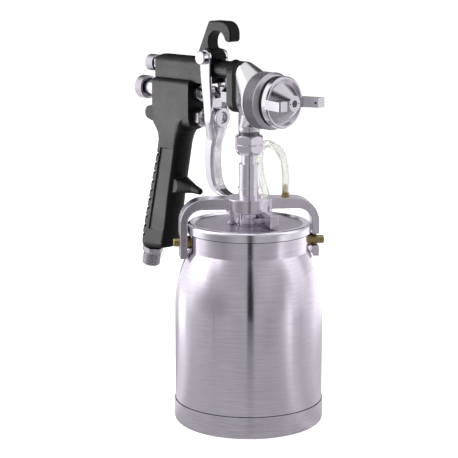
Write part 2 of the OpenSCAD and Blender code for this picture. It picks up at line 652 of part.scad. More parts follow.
// ---------- Head ----------
module head() {
    neck_z = nut_top + 3 - axis_z;
    seat_z = nut_z + 5.4 + gap - axis_z;
    color(alloy)
    at_axis() difference() {
        union() {
            hull() {
                translate([head_x, 0, 0]) rotate([90, 0, 90]) linear_extrude(2) flange_outline();
                along_x(nose_x - 2, 0) cylinder(r = nose_r, h = 2, $fn = 64);
            }
            along_x(nose_x - 1, 0) cylinder(r = thread_r, h = 8);
            translate([0, 0, neck_z]) cylinder(r = inlet_neck_r, h = 12.5);
            hull() {
                translate([0, 0, neck_z + 3]) cylinder(r = inlet_neck_r, h = 6, $fn = 48);
                along_x(6, -4) cylinder(r = 12.5, h = 5, $fn = 48);
            }
            translate([0, 0, seat_z]) cylinder(r = inlet_thread_r, h = neck_z - seat_z + 1);
        }
        // The neck stays below the flange and its gasket
        translate([head_x - 20, -20, flange_mid - flange_h / 2 - 0.4]) cube([20, 40, 60]);
        translate([0, 0, seat_z - 1]) cylinder(r = stem_bore, h = 1 - seat_z);
        translate([0, 0, seat_z - eps]) cylinder(r1 = seat_r + gap, r2 = stem_bore + 0.9, h = 2.6);
        translate([0, 0, seat_z + 2.5]) cylinder(r1 = stem_bore + 0.9, r2 = stem_bore, h = 1);
        along_x(head_x - 1, 0) cylinder(r = 4.3, h = 12);
        along_x(head_x + 8, 0) cylinder(r = 2.6, h = 40);
        along_x(nose_x - 2, 0) cylinder(r = 6 + fit, h = 20);
        // Air from the bridge to the annular chamber behind the cap
        along_x(head_x - 1, fan_z) cylinder(r = 3.4, h = 8);
        translate([head_x + 5, 0, fan_z]) rotate([0, 126, 0]) cylinder(r = 2.6, h = 15);
        difference() {
            along_x(nose_x + 3, 0) cylinder(r = 13.4, h = 10);
            along_x(nose_x, 0) cylinder(r = 8.2, h = 10);
        }
    }
}
module fluid_nozzle() {
    color(steel_c)
    at_axis() difference() {
        union() {
            along_x(nose_x - 1.4, 0) cylinder(r = 6, h = 9);
            along_x(nose_x + 7.4, 0) hex(15, 5);
            along_x(nose_x + 12, 0) cylinder(r1 = 7, r2 = 4.6, h = 6);
            along_x(nose_x + 18 - eps, 0) cylinder(r1 = 4.6, r2 = 1.75, h = 7);
            along_x(nose_x + 25 - 2 * eps, 0) cylinder(r = 1.75, h = cap_face_x - nose_x - 25 + 0.2);
        }
        along_x(nose_x - 3, 0) cylinder(r = needle_r + 0.9, h = 21);
        along_x(nose_x + 18 - eps, 0) cylinder(r1 = needle_r + 0.9, r2 = tip_r + gap, h = 6);
        along_x(nose_x + 20, 0) cylinder(r = tip_r + fit, h = 8.4);
        along_x(nose_x + 28.4 - eps, 0) cylinder(r1 = tip_r + fit, r2 = 0.6, h = 1.3);
        along_x(nose_x + 20, 0) cylinder(r = 0.6, h = 20);
    }
}
module nozzle_seal() {
    color(black_c)
    at_axis() along_x(nose_x - 1.9, 0) ring(5.9, 3.2, 0.5);
}
module needle_packing() {
    color([0.9, 0.9, 0.86])
    at_axis() for (i = [0:2]) along_x(head_x + 1.2 + 2.2 * i, 0) ring(4.25, needle_r + fit, 2);
}
module packing_nut() {
    hex_l = 7;
    color(bright)
    at_axis() difference() {
        union() {
            along_x(flange_x - gap - hex_l - 1, 0) hex(12, hex_l + 1);
            along_x(flange_x - 2, 0) cylinder(r = 5, h = flange_t + 1.5);
            along_x(flange_x, 0) cylinder(r = 4.1, h = head_x - flange_x + 0.9);
        }
        along_x(flange_x - 20, 0) cylinder(r = needle_r + fit, h = 40);
    }
}

// ---------- Needle and its bushing, spring and pad ----------
module needle() {
    color(steel_c)
    at_axis() {
        along_x(nose_x + 28.2 - eps, 0) cylinder(r1 = tip_r, r2 = 0.3, h = 1.5);
        along_x(nose_x + 20, 0) cylinder(r = tip_r, h = 8.2);
        along_x(nose_x + 16, 0) cylinder(r1 = needle_r, r2 = tip_r, h = 4 + eps);
        along_x(collar_x - 1, 0) cylinder(r = needle_r, h = nose_x + 17 - collar_x + eps);
        along_x(collar_x - 1, 0) cylinder(r = 3.2, h = 1);
        along_x(collar_x - 3, 0) cylinder(r = 6, h = 2);
        along_x(needle_end, 0) cylinder(r = rod_r, h = collar_x - 2 - needle_end);
        along_x(needle_end - 1.8, 0) cylinder(r = chamber_r - 0.2, h = 2);
    }
}
module needle_bushing() {
    color(steel_c)
    at_axis() difference() {
        union() {
            along_x(-block_back - 7, 0) cylinder(r = 4.5, h = 8);
            along_x(-block_back, 0) hex(10.5, 3.4);
        }
        along_x(-block_back - 10, 0) cylinder(r = rod_r + fit, h = 20);
    }
}
// A spring as evenly spaced rings that a thin spine joins
module coil(x0, x1, r, wire, turns) {
    along_x(x0, 0) for (i = [0:turns]) translate([0, 0, wire + i * (x1 - x0 - 2 * wire) / turns])
        rotate_extrude($fn = 32) translate([r, 0]) circle(r = wire, $fn = 16);
    along_x(x0 + wire, 0) translate([r, 0, 0]) cylinder(r = wire * 0.7, h = x1 - x0 - 2 * wire, $fn = 16);
}
module needle_spring() {
    color(steel_c) at_axis() coil(pad_x + pad_t, needle_end - 1.8, chamber_r - 1.1, 0.5, 5);
}
module spring_pad() {
    color(steel_c)
    at_axis() {
        difference() {
            along_x(pad_x, 0) cylinder(r = chamber_r - 0.2, h = pad_t);
            along_x(pad_x - 1, 0) cylinder(r = 1.8 + fit, h = 3);
        }
    }
}
module fluid_bushing() {
    hex_l = 3;
    color(bright)
    at_axis() difference() {
        union() {
            along_x(block_x, 0) cylinder(r = chamber_r - fit, h = 3.5);
            along_x(block_x - hex_l, 0) hex(11.4, hex_l);
            along_x(block_x - 16, 0) cylinder(r = 5.25, h = 16);
        }
        along_x(block_x - 20, 0) cylinder(r = 2.8 + fit, h = 40);
    }
}
module fluid_knob() {
    hollow = fluid_knob_r - 1.5;
    color(bright)
    at_axis() {
        difference() {
            along_x(fluid_knob_x, 0) union() {
                cylinder(r1 = fluid_knob_r - 0.8, r2 = fluid_knob_r, h = 0.8);
                translate([0, 0, 0.8 - eps]) cylinder(r = fluid_knob_r, h = fluid_knob_l - 0.8);
            }
            along_x(fluid_knob_x + 2.2, 0) cylinder(r = hollow, h = fluid_knob_l);
        }
        along_x(fluid_knob_x + 1, 0) cylinder(r = 2.8, h = pad_x - fluid_knob_x - 1.4);
        along_x(pad_x - 1, 0) cylinder(r = 1.8, h = 2.6);
    }
}

// ---------- Fan air ----------
module fan_bushing() {
    color(bright)
    at_axis() difference() {
        union() {
            along_x(block_x - 0.9, fan_z) cylinder(r = 3.4 - fit, h = 6);
            along_x(block_x - 3.4, fan_z) hex(9, 2.5);
        }
        along_x(block_x - 20, fan_z) cylinder(r = 1.8 + fit, h = 40);
    }
}
module fan_knob() {
    color(bright)
    at_axis() {
        along_x(fan_knob_x, fan_z) cylinder(r1 = fan_knob_r - 0.8, r2 = fan_knob_r, h = 0.8);
        along_x(fan_knob_x + 0.8 - eps, fan_z) cylinder(r = fan_knob_r, h = fan_knob_l - 0.8);
        along_x(fan_knob_x + 1, fan_z) cylinder(r = 1.8, h = block_x + 10 - fan_knob_x);
    }
}
module fan_poppet() {
    color(steel_c)
    at_axis() {
        along_x(block_x + 11.3, fan_z) cylinder(r = 2.6, h = 6);
        along_x(block_x + 17.3 - eps, fan_z) cylinder(r1 = 2.6, r2 = 1, h = 5);
    }
}

// ---------- Air valve ----------
module air_valve_nut() {
    nose = valve_nut_x + block_back;
    color(bright)
    at_axis() difference() {
        union() {
            along_x(-block_back - 5.5, valve_z) cylinder(r = 5, h = 6);
            along_x(-block_back, valve_z) hex(11.6, nose - 1.6);
            along_x(-block_back + nose - 1.7, valve_z) cylinder(r1 = 5.4, r2 = 4.6, h = 1.7);
        }
        along_x(-block_back - 10, valve_z) cylinder(r = 2.5 + fit, h = 30);
    }
}
module air_valve_stem() {
    tip = collar_x + 0.2;
    poppet = -block_back - 18;
    color(steel_c)
    at_axis() {
        along_x(tip - 2.5, valve_z) sphere(r = 2.5, $fn = 48);
        along_x(-block_back - 8, valve_z) cylinder(r = 2.5, h = tip - 2.5 + block_back + 8);
        along_x(poppet, valve_z) cylinder(r = 1.3, h = 14);
        along_x(poppet - 1.2, valve_z) cylinder(r = 2.9, h = 1.6);
    }
}
module air_valve_seat() {
    color(black_c)
    at_axis() along_x(-block_back - 17.3, valve_z) ring(4.15, 2, 1.6);
}
module air_valve_spring() {
    far = -block_back - 31.3;
    color(steel_c)
    at_axis() translate([0, 0, valve_z]) coil(far, -block_back - 19.3, 3, 0.45, 3);
}

// ---------- Inlet ----------
module inlet_nipple() {
    hex_h = 3.85;
    neck_l = 1.6;
    color(steel_c)
    at_axis() in_grip() translate([inlet_off, 0, -inlet_face]) difference() {
        union() {
            translate([0, 0, -1]) cylinder(r = 5, h = 6.5);
            translate([0, 0, -hex_h]) intersection() {
                hex(hex_af, hex_h);
                cylinder(r1 = hex_af / 2 + 0.1, r2 = hex_af / 2 + 3, h = 5);
            }
            translate([0, 0, -hex_h - neck_l]) cylinder(r = inlet_r - 1, h = neck_l + 1);
            translate([0, 0, -hex_h - neck_l - inlet_l + 0.8]) cylinder(r = inlet_r, h = inlet_l - 0.8);
            translate([0, 0, -hex_h - neck_l - inlet_l])
                cylinder(r1 = inlet_r - 0.8, r2 = inlet_r, h = 0.8 + eps);
        }
        translate([0, 0, -30]) cylinder(r = 3.6, h = 60);
        translate([0, 0, -hex_h - neck_l - inlet_l - 0.1]) cylinder(r1 = 4.6, r2 = 3.6, h = 2);
    }
}

// ---------- Trigger ----------
module arm_outline() {
    // One arm, from the eye down to the finger piece
    difference() {
        union() {
            translate(pivot) circle(r = eye_r);
            polygon([[pivot[0] - 5.1, pivot[1] + 0.6], [-38.4, 10.4], [-35.7, -8], [-35.2, -15], [-34.5, -19],
                [-29.5, -19], [-28.2, -14], [-28.4, -8], [-29.6, 10.4], [pivot[0] + 5.1, pivot[1] - 0.8]]);
        }
        translate(pivot) circle(r = stud_r + fit, $fn = 64);
    }
}
module finger_outline() {
    polygon(concat([[-35.8, -11.5], [-37.6, -20], [-37.3, -28], [-38.8, -37], [-39.2, -45], [-38.8, -54]],
        [[-37.4, -60], [-34.6, -64.4], [-31.2, -67.3], [-26.6, -69.2], [-20.5, -69.6], [-17.6, -69.2]],
        [[-17.8, -68.2], [-22, -66.9], [-25.6, -65.2], [-28.3, -62.3], [-30.2, -57.5], [-31.2, -50]],
        [[-31.3, -43.5], [-30.6, -36], [-28.6, -29.5], [-26.9, -24], [-26.3, -19], [-26.3, -9.5]]));
}
module trigger() {
    boss_dz = -15.3;
    boss_front = -25.2;
    socket_boss_r = 6.8;
    fork_x = collar_x + 0.5;
    fork_t = 2.6;
    slot_w = 4.4;
    // Front of the valve's nut, seen from the pulled trigger
    nut_reach = pivot[0] + (valve_nut_x - pivot[0]) * cos(trigger_pull)
        - (valve_z - 4.6 - pivot[1]) * sin(trigger_pull) + 0.5;
    color(bright)
    at_axis() difference() {
        union() {
            for (s = [-1, 1]) translate([0, s * (arm_in + arm_out) / 2, 0]) plate_y(arm_t) arm_outline();
            // Finger piece, stepped in towards its sides
            for (k = [0:2]) plate_y(finger_w - 1.6 * k) offset(delta = -0.9 + 0.45 * k) finger_outline();
            // Cheeks that carry the arms in to the finger piece
            hull() {
                for (s = [-1, 1]) along_y(-31.8, s * (arm_out - 0.5) - 0.5, -15)
                    cylinder(r = 3.3, h = 1, $fn = 32);
                along_y(-32.4, -finger_w / 2, -27) cylinder(r = 4.2, h = finger_w, $fn = 32);
            }
            // Round boss with the adjusting socket
            along_x(collar_x + 0.5, boss_dz) cylinder(r = socket_boss_r, h = boss_front - collar_x - 0.5);
            // Fork plate that pulls the needle's collar
            translate([fork_x, -arm_in - 0.5, -14]) cube([fork_t, 2 * arm_in + 1, 19.4]);
        }
        along_x(boss_front - 2.5, boss_dz) cylinder(r = 4, h = 10);
        translate([fork_x - 5, -slot_w / 2, -slot_w / 2]) cube([20, slot_w, 20]);
        along_x(fork_x - 5, 0) cylinder(r = slot_w / 2, h = 20, $fn = 48);
        // Room behind the boss for the valve's pin, and for its nut with the trigger pulled
        along_x(fork_x - 12, valve_z) cylinder(r = 3.9, h = 12);
        along_x(nut_reach - 12, valve_z - 0.6) cylinder(r = 5.1, h = 12);
    }
}
module pivot_screw() {
    head_r = 4.6;
    head_h = 4.4;
    chamfer = 0.6;
    color(bright)
    at_axis() along_y(pivot[0], -arm_out - gap, pivot[1]) {
        translate([0, 0, chamfer - head_h]) cylinder(r = head_r, h = head_h - chamfer);
        translate([0, 0, -head_h]) cylinder(r1 = head_r - chamfer, r2 = head_r, h = chamfer + eps);
        cylinder(r = 1.9, h = 2 * arm_out - 1);
    }
}
// Hollow stud that the trigger swings on; the screw closes it from the other side
module pivot_stud() {
    cap_h = 0.9;
    color(bright)
    at_axis() along_y(pivot[0], -arm_out, pivot[1]) difference() {
        union() {
            cylinder(r = stud_r, h = 2 * arm_out + gap + eps, $fn = 64);
            translate([0, 0, 2 * arm_out + gap]) cylinder(r = stud_r + 1.2, h = cap_h);
        }
        translate([0, 0, -1]) cylinder(r = 1.9 + 0.02, h = 2 * arm_out);
    }
}

// ---------- Air cap ----------
module retaining_ring() {
    lip = cap_neck_r + fit;
    color(alloy)
    at_axis() difference() {
        translate([ring_x, 0, 0]) turned_x([[thread_r + fit, 0], [ring_r - 0.6, 0], [ring_r, 0.6],
            [ring_r, 10.6], [ring_r - 0.5, 11.1], [cap_r + 0.5, ring_len - 0.6], [cap_r, ring_len],
            [lip, ring_len], [lip, ring_len - 1.4], [thread_r + fit, ring_len - 1.4]]);
        // Knurl grooves
        for (i = [0:71]) rotate([i * 5, 0, 0]) translate([ring_x + 1, ring_r + 0.32, 0])
            rotate([45, 0, 0]) cube([9.2, 0.8, 0.8]);
    }
}
module cap_clip() {
    color(steel_c)
    at_axis() along_x(clip_x, 0) ring(cap_neck_r + 0.8, cap_neck_r - 0.9, 1.2);
}
module cap_washer() {
    color(black_c)
    at_axis() along_x(ring_x + ring_len + 0.1, 0) ring(cap_r - 0.3, cap_neck_r + fit, 1.1);
}
module horn_outline() {
    tip = horn_span / 2;
    polygon([[28.1, 8], [28.2, cap_r - 0.5], [33, cap_r], [horn_tip_x - 0.6, tip], [horn_tip_x, tip - 0.6],
        [horn_tip_x, tip - 7], [horn_tip_x - 4.6, tip - 8.6], [38.6, tip - 12.4], [36, 8]]);
}
module air_cap() {
    jet_r = 0.8;
    jet_y = horn_span / 2 - 3.4;
    feed = [26, 12];
    feed_run = [horn_tip_x - 3.6, jet_y] - feed;
    color(bright)
    at_axis() difference() {
        union() {
            turned_x([[0, 20.4], [cap_neck_r, 20.4], [cap_neck_r, 28.1], [cap_r - 0.5, 28.1], [cap_r, 28.6],
                [cap_r, 32.4], [cap_r - 0.7, 33.2], [cap_r - 1.7, 33.2], [cap_r - 3.6, 31.9],
                [6.4, cap_face_x - 1.4], [5.3, cap_face_x], [0, cap_face_x]]);
            for (s = [0, 1]) translate([0, 0, -horn_t / 2]) linear_extrude(horn_t)
                mirror([0, s]) horn_outline();
        }
        // Hollow behind the face
        turned_x([[0, 19], [13.4, 19], [13.4, 30], [5.4, 38], [5.4, cap_face_x - 2.2],
            [0, cap_face_x - 2.2]]);
        along_x(30, 0) cylinder(r = 2.3, h = 20, $fn = 48);
        // Groove for the clip
        along_x(clip_x - 0.1, 0) difference() {
            cylinder(r = cap_neck_r + 1, h = 1.4);
            translate([0, 0, -1]) cylinder(r = cap_neck_r - 0.95, h = 4);
        }
        for (s = [-1, 1]) {
            // Containment jets beside the centre
            along_x(36, 0) translate([0, s * 3.9, 0]) cylinder(r = 0.45, h = 10, $fn = 24);
            // Shaping jet through each horn's inner face, fed by a passage from the hollow
            translate([horn_tip_x - 3.6, s * jet_y, 0]) rotate([s * 90, 0, 0]) rotate([0, 24, 0])
                cylinder(r = jet_r, h = 12, $fn = 32);
            translate([feed[0], s * feed[1], 0]) rotate([0, 0, s * atan2(feed_run[1], feed_run[0])])
                rotate([0, 90, 0]) cylinder(r = 1.2, h = norm(feed_run) + 0.6, $fn = 32);
        }
    }
}

gun_body();
head_gasket();
head();
fluid_nozzle();
nozzle_seal();
needle_packing();
packing_nut();
needle_bushing();
pivot_screw();
pivot_stud();
air_valve_nut();
air_valve_seat();
air_valve_spring();
needle_spring();
fluid_bushing();
fan_bushing();
inlet_nipple();
stem();
siphon_tube();
lid();
lid_gasket();
guide_post();
lid_barb();
vent_tube();
trigger();
needle();
air_valve_stem();
spring_pad();
fluid_knob();
fan_knob();
fan_poppet();
cap_clip();
cap_washer();
air_cap();
retaining_ring();
union_nut();
cam_lever();
yoke();
yoke_barb();
cup_body();
cup_base();
cup_pins();
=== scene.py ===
"""Siphon-feed spray gun: finishes, softened castings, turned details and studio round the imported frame."""
import json
import math

import bpy
from mathutils import Matrix, Vector


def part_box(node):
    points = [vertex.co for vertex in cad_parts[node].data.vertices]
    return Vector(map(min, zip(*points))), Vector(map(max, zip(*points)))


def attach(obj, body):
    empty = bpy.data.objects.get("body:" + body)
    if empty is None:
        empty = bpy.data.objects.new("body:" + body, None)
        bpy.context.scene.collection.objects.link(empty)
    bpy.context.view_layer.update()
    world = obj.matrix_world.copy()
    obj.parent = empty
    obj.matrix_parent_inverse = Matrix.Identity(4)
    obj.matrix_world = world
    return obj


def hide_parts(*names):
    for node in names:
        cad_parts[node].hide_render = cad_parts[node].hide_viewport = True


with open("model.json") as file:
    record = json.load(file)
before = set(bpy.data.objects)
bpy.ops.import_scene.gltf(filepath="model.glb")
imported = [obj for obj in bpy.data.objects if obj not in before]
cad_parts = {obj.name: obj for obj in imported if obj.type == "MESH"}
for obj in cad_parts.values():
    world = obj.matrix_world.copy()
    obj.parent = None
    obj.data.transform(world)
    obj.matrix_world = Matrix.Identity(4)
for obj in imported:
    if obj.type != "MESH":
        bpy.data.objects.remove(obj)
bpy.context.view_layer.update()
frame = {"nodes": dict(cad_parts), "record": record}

MM = 0.001
NODES = frame["nodes"]
RECORD = frame["record"]
BODY_OF = {n: b for b, names in RECORD["behaviour"]["bodies"].items() for n in names}
SLOT_OF = {p["node"]: p["material_slot"] for p in RECORD["subparts"]}


# ---------- Places, taken from the frame ----------
def top(node):
    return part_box(node)[1][2]


def foot(node):
    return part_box(node)[0][2]


def upright_radius(node):
    """Radius of a node that is round about the upright axis through the origin."""
    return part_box(node)[1][0]


def spray_radius(node):
    """Radius of a node that is round about the spray axis."""
    low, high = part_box(node)
    return (high[1] - low[1]) / 2


# ---------- Making objects ----------
def add_object(name, data):
    obj = bpy.data.objects.new(name, data)
    bpy.context.scene.collection.objects.link(obj)
    return obj


def mesh_object(name, points, faces):
    mesh = bpy.data.meshes.new(name)
    mesh.from_pydata([tuple(p) for p in points], [], faces)
    mesh.update()
    return add_object(name, mesh)


def dress(obj, material):
    obj.data.materials.clear()
    obj.data.materials.append(material)


def set_smooth(obj, smooth):
    for polygon in obj.data.polygons:
        polygon.use_smooth = smooth


def apply_modifiers(obj):
    graph = bpy.context.evaluated_depsgraph_get()
    mesh = bpy.data.meshes.new_from_object(obj.evaluated_get(graph))
    obj.modifiers.clear()
    obj.data = mesh


# ---------- Materials ----------
class Shader:
    """A material under construction, with short ways to add and link nodes."""

    def __init__(self, name):
        self.mat = bpy.data.materials.new(name)
        self.mat.use_nodes = True
        self.tree = self.mat.node_tree
        self.bsdf = self.tree.nodes["Principled BSDF"]

    def add(self, kind, **values):
        node = self.tree.nodes.new(kind)
        for key, value in values.items():
            setattr(node, key, value)
        return node

    def link(self, source, target):
        self.tree.links.new(source, target)

    def set(self, **sockets):
        for key, value in sockets.items():
            self.bsdf.inputs[key.replace("_", " ")].default_value = value

    def feed(self, source, socket):
        """Drives one of the surface's own sockets from a node."""
        self.link(source, self.bsdf.inputs[socket])

    def coords(self, scale=(1, 1, 1)):
        """Object coordinates in metres, multiplied by scale."""
        place = self.add("ShaderNodeTexCoord")
        mapping = self.add("ShaderNodeMapping")
        mapping.inputs["Scale"].default_value = scale
        self.link(place.outputs["Object"], mapping.inputs["Vector"])
        return mapping.outputs["Vector"]

    def noise(self, vector, scale, detail=3.0, roughness=0.5):
        node = self.add("ShaderNodeTexNoise")
        node.inputs["Scale"].default_value = scale
        node.inputs["Detail"].default_value = detail
        node.inputs["Roughness"].default_value = roughness
        self.link(vector, node.inputs["Vector"])
        return node.outputs["Fac"]

    def spread(self, value, low, high, start=0.3, end=0.7):
        """Maps a texture value from start..end to low..high."""
        node = self.add("ShaderNodeMapRange")
        for key, number in (("From Min", start), ("From Max", end), ("To Min", low), ("To Max", high)):
            node.inputs[key].default_value = number
        self.link(value, node.inputs["Value"])
        return node.outputs["Result"]

    def mix(self, factor, a, b, blend="MIX"):
        node = self.add("ShaderNodeMix", data_type="RGBA", blend_type=blend)
        for key, value in (("Factor", factor), ("A", a), ("B", b)):
            socket = [s for s in node.inputs if s.name == key and s.enabled][0]
            if isinstance(value, (tuple, float, int)):
                socket.default_value = value
            else:
                self.link(value, socket)
        return [s for s in node.outputs if s.enabled][0]

    def mottle(self, texture, first, second):
        """Base colour that runs from the first colour to the second as the texture's value rises."""
        self.feed(self.mix(self.spread(texture, 0, 1), first, second), "Base Color")

    def bump(self, height, distance, strength=1.0, soften=0.0):
        """Bump from a height texture; soften rounds the mesh's edges by that radius."""
        node = self.add("ShaderNodeBump")
        node.inputs["Distance"].default_value = distance
        node.inputs["Strength"].default_value = strength
        self.link(height, node.inputs["Height"])
        if soften:
            bevel = self.add("ShaderNodeBevel", samples=4)
            bevel.inputs["Radius"].default_value = soften
            self.link(bevel.outputs["Normal"], node.inputs["Normal"])
        self.feed(node.outputs["Normal"], "Normal")


def tint(color, k):
    return (color[0] * k, color[1] * k, color[2] * k, 1.0)


def metal(name, color, rough, rough_range=0.08, grain=0.01 * MM, grain_scale=900, stretch=(1, 1, 1),
          soften=0.3 * MM, dirt=0.85, turned=None, streak=0.0):
    """Bare or plated metal: uneven gloss, faint stains, and a grain that can run in one direction.

    grain is the bump's height and stretch squeezes it along an axis; soften rounds the edges; dirt is how
    bright the stains stay; turned names the axis of a lathe finish; streak is how dark the grain gets.
    """
    s = Shader(name)
    s.set(Metallic=1.0)
    clouds = s.noise(s.coords(), 45, 4)
    lines = s.noise(s.coords(stretch), grain_scale, 3, 0.6)
    stains = s.mix(s.spread(clouds, 0, 1), tint(color, 1), tint(color, dirt))
    s.feed(s.mix(s.spread(lines, 0, streak), stains, (0, 0, 0, 1)), "Base Color")
    rough_map = s.add("ShaderNodeMath", operation="ADD")
    s.link(s.spread(clouds, rough - rough_range / 2, rough + rough_range / 2), rough_map.inputs[0])
    s.link(s.spread(lines, -rough_range / 2, rough_range / 2), rough_map.inputs[1])
    s.feed(rough_map.outputs[0], "Roughness")
    s.bump(lines, grain, 1.0, soften)
    if turned:
        s.set(Anisotropic=0.9, Anisotropic_Rotation=0.25)
        tangent = s.add("ShaderNodeTangent", direction_type="RADIAL", axis=turned)
        s.feed(tangent.outputs["Tangent"], "Tangent")
    return s.mat


def coated_casting():
    """Satin black coat with a fine orange peel and a slightly uneven gloss."""
    s = Shader("black_casting")
    s.set(Specular_IOR_Level=0.15)
    clouds = s.noise(s.coords(), 60)
    s.mottle(clouds, (0.0012, 0.0012, 0.0013, 1), (0.0034, 0.0033, 0.0037, 1))
    s.feed(s.spread(clouds, 0.43, 0.51), "Roughness")
    s.bump(s.noise(s.coords(), 900), 0.14 * MM)
    return s.mat


def lid_finish(rim_width):
    """Matte, grainy floor inside a polished rim of that width."""
    border = upright_radius("lid") - rim_width
    blend = 0.1 * MM
    s = Shader("lid_alloy")
    s.set(Metallic=1.0)
    place = s.coords()
    split = s.add("ShaderNodeSeparateXYZ")
    flat = s.add("ShaderNodeCombineXYZ")
    radius = s.add("ShaderNodeVectorMath", operation="LENGTH")
    s.link(place, split.inputs[0])
    s.link(split.outputs["X"], flat.inputs["X"])
    s.link(split.outputs["Y"], flat.inputs["Y"])
    s.link(flat.outputs[0], radius.inputs[0])
    rim = s.spread(radius.outputs["Value"], 0, 1, border - blend, border + blend)
    grain = s.noise(place, 1500, 4, 0.7)
    floor_color = s.mix(s.spread(grain, 0, 1), (0.40, 0.365, 0.43, 1), (0.70, 0.66, 0.74, 1))
    s.feed(s.mix(rim, floor_color, (0.88, 0.86, 0.91, 1)), "Base Color")
    s.feed(s.spread(rim, 0.27, 0.14, 0, 1), "Roughness")
    s.bump(grain, 0.04 * MM)
    return s.mat


def rubber(name):
    """Dull black rubber with a fine speck."""
    s = Shader(name)
    s.set(Roughness=0.6, Specular_IOR_Level=0.08)
    speck = s.noise(s.coords(), 900)
    s.mottle(speck, (0.008, 0.008, 0.008, 1), (0.02, 0.02, 0.021, 1))
    s.bump(speck, 0.03 * MM)
    return s.mat


def seal_plastic():
    """Off-white sealing plastic."""
    s = Shader("white_seal")
    s.set(Roughness=0.45)
    speck = s.noise(s.coords(), 400)
    s.mottle(speck, (0.80, 0.79, 0.74, 1), (0.70, 0.69, 0.64, 1))
    s.bump(speck, 0.02 * MM)
    return s.mat


def milky_tube():
    """Soft clear tube, slightly yellowed and cloudy."""
    s = Shader("clear_tube")
    s.set(IOR=1.35, Transmission_Weight=0.85, Specular_IOR_Level=0.5)
    clouds = s.noise(s.coords(), 160)
    s.mottle(clouds, (0.97, 0.975, 0.955, 1), (0.92, 0.93, 0.90, 1))
    s.feed(s.spread(clouds, 0.05, 0.15), "Roughness")
    s.bump(clouds, 0.08 * MM)
    return s.mat


MATERIALS = {
    "black_casting": coated_casting(),
    "black_rubber": rubber("black_rubber"),
    "polished_alloy": metal("polished_alloy", (0.78, 0.765, 0.80), 0.2, grain_scale=1500, soften=0.0),
    "satin_alloy": metal("satin_alloy", (0.58, 0.56, 0.60), 0.36, grain=0.03 * MM, grain_scale=2200),
    "trigger_alloy": metal("trigger_alloy", (0.76, 0.74, 0.785), 0.18, rough_range=0.05,
                           grain=0.003 * MM, grain_scale=300, soften=0.0),
    "spun_alloy": metal("spun_alloy", (0.90, 0.86, 0.94), 0.2, rough_range=0.05, grain_scale=60,
                        stretch=(1, 1, 28), soften=0.0, dirt=0.93, turned="Z", streak=0.12),
    "lid_alloy": lid_finish(rim_width=5.6 * MM),
    "yoke_alloy": metal("yoke_alloy", (0.92, 0.88, 0.95), 0.24, grain=0.02 * MM, grain_scale=1400,
                        soften=0.0, streak=0.14),
    "bright_plate": metal("bright_plate", (0.89, 0.86, 0.93), 0.2),
    "steel": metal("steel", (0.55, 0.54, 0.56), 0.24, rough_range=0.1, grain=0.02 * MM, grain_scale=1100),
    "brass": metal("brass", (0.50, 0.40, 0.19), 0.34, rough_range=0.12, grain=0.03 * MM, grain_scale=1200,
                   dirt=0.6),
    "white_seal": seal_plastic(),
    "clear_tube": milky_tube(),
}

# Finishes of single pieces, within their slots' families
SPUN_BASE = metal("spun_base", (0.90, 0.86, 0.93), 0.24, rough_range=0.06, grain_scale=60,
                  stretch=(1, 1, 22), soften=0.0, dirt=0.9, turned="Z", streak=0.2)
KNOB_PLATE = metal("knob_plate", (0.58, 0.565, 0.60), 0.36, rough_range=0.06, grain=0.03 * MM,
                   grain_scale=1500)
KNURLED = metal("knurled_alloy", (0.33, 0.32, 0.34), 0.3, grain_scale=1500, soften=0.0)
# Dark rubber for the cap washer and the outlet thread; it also colours the bands and ring of painted shade
# in the gaps.
DARK_SEAL_AND_SHADE = rubber("dark_seal_and_shade")
NOZZLE_STEEL = metal("nozzle_steel", (0.16, 0.155, 0.165), 0.3, grain_scale=1500)
CAP_BRIGHT = metal("cap_bright", (0.66, 0.645, 0.685), 0.13, rough_range=0.06, grain_scale=1500)
OWN_FINISH = {
    "cup_base": SPUN_BASE,
    "fluid_knob": KNOB_PLATE,
    "fan_knob": KNOB_PLATE,
    "air_cap": CAP_BRIGHT,
    "cap_washer": DARK_SEAL_AND_SHADE,
    "fluid_nozzle": NOZZLE_STEEL,
}

for node_name, node_object in NODES.items():
    dress(node_object, OWN_FINISH.get(node_name, MATERIALS[SLOT_OF[node_name]]))


# ---------- Castings with rounded edges ----------
def stand_for(piece, *nodes):
    """The piece rides on the first node's body, wears its slot's material and replaces the nodes."""
    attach(piece, BODY_OF[nodes[0]])
    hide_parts(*nodes)
    if not piece.data.materials:
        dress(piece, MATERIALS[SLOT_OF[nodes[0]]])
    set_smooth(piece, True)


def softened(node, name, voxel, rounds):
    """A copy of a cast or ground piece with its edges rounded and its inner corners blended."""
    piece = add_object(name, NODES[node].data.copy())
    remesh = piece.modifiers.new("remesh", "REMESH")
    remesh.mode = "VOXEL"
    remesh.voxel_size = voxel
    remesh.use_smooth_shade = True
    smooth = piece.modifiers.new("smooth", "SMOOTH")
    smooth.factor = 0.5
    smooth.iterations = rounds
    apply_modifiers(piece)
    stand_for(piece, node)
    return piece


BODY_CASTING = softened("gun_body", "body_casting", voxel=0.4 * MM, rounds=3)
softened("head", "head_casting", voxel=0.4 * MM, rounds=4)
softened("trigger", "trigger_casting", voxel=0.36 * MM, rounds=6)
softened("yoke", "yoke_bar", voxel=0.4 * MM, rounds=3)
softened("cam_lever", "cam_lever_casting", voxel=0.3 * MM, rounds=4)


# ---------- Turned details ----------
def lathe(name, profile, steps, place=Matrix.Identity(4), wobble=None):
    """A closed profile of (radius, height) points turned about an axis; wobble moves a point's radius."""
    points, faces = [], []
    n = len(profile)
    for i in range(steps):
        a = 2 * math.pi * i / steps
        for j, (radius, height) in enumerate(profile):
            r = radius + (wobble(i, j) if wobble else 0)
            points.append(place @ Vector((r * math.cos(a), r * math.sin(a), height)))
    for i in range(steps):
        k = (i + 1) % steps
        for j in range(n):
            m = (j + 1) % n
            faces.append((i * n + j, k * n + j, k * n + m, i * n + m))
    return mesh_object(name, points, faces)


